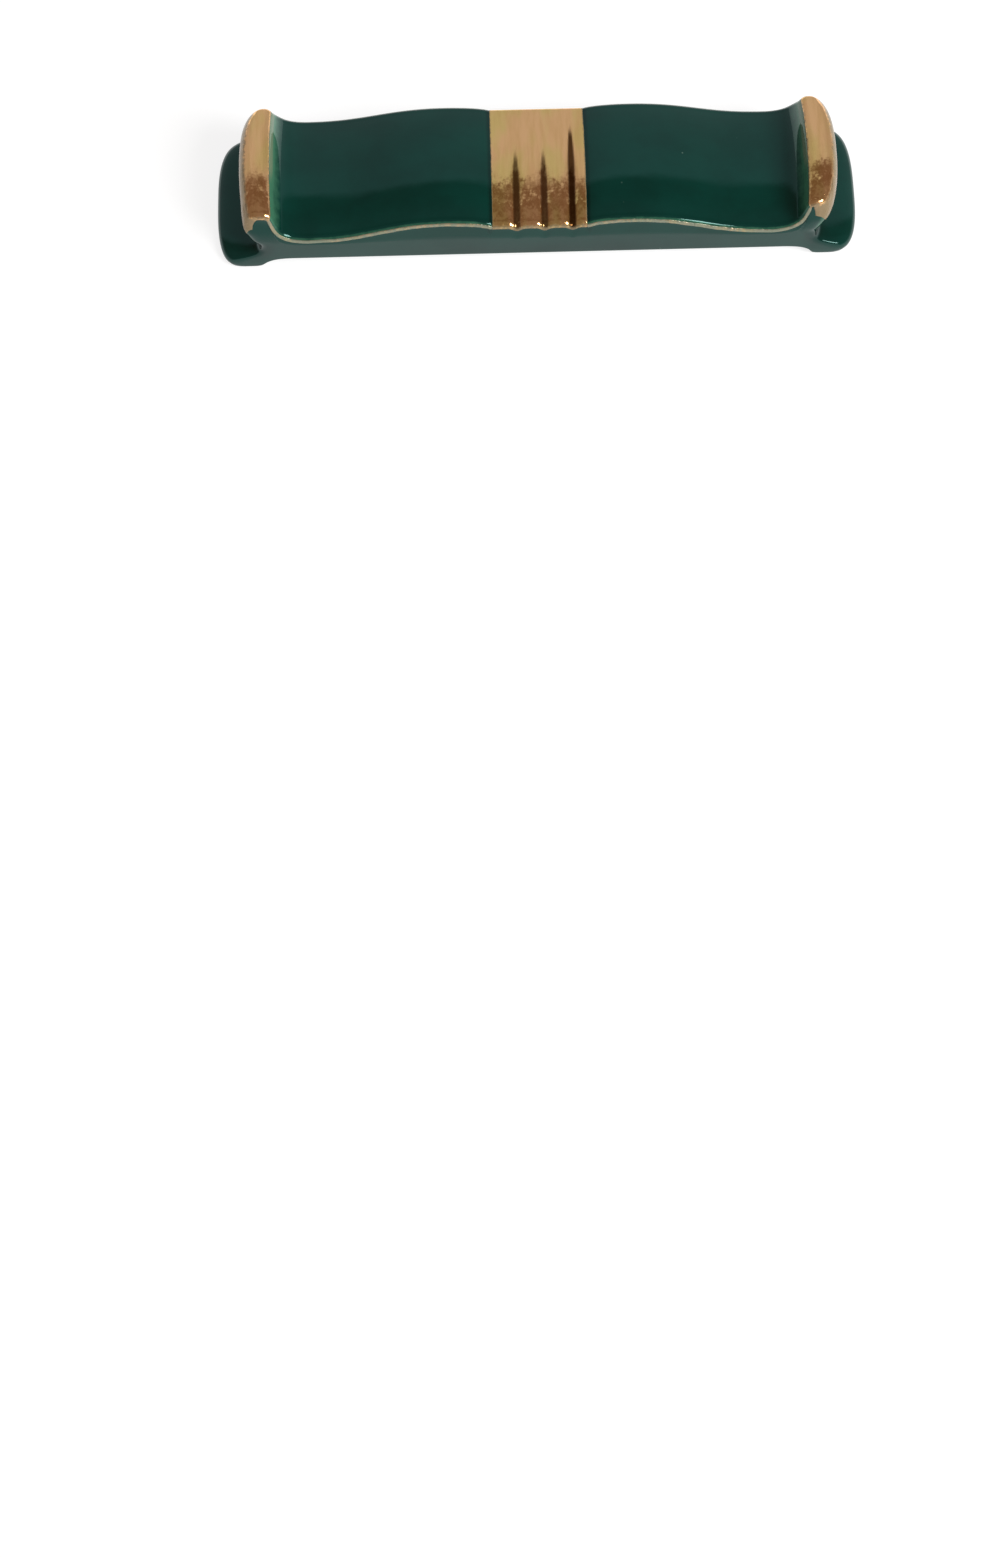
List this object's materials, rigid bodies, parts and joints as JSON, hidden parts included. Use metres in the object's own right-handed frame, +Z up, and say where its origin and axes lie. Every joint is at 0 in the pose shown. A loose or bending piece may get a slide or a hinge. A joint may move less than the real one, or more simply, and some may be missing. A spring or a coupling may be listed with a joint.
{
  "type": "knife rest",
  "caption": "Low porcelain bar on two wide feet, with saddles for a blade, a fluted gilded middle and a rolled gilded scroll at each end.",
  "frame": {"origin": "middle of the footprint, on the table", "axes": "+X along the rest towards its right end, +Y towards the back, +Z up"},
  "size_m": [0.1, 0.0208, 0.0128],
  "materials": {
    "biscuit": "unglazed fired porcelain",
    "green_glaze": "glossy dark green glaze",
    "gilding": "bright gold lustre"
  },
  "bodies": {
    "root": {"biscuit_body": "biscuit", "glaze_coat": "green_glaze", "gilt_band": "gilding", "gilt_scroll_left": "gilding", "gilt_scroll_right": "gilding", "gilt_line_front_left": "gilding", "gilt_line_front_right": "gilding", "gilt_line_back_left": "gilding", "gilt_line_back_right": "gilding"}
  },
  "joints": []
}
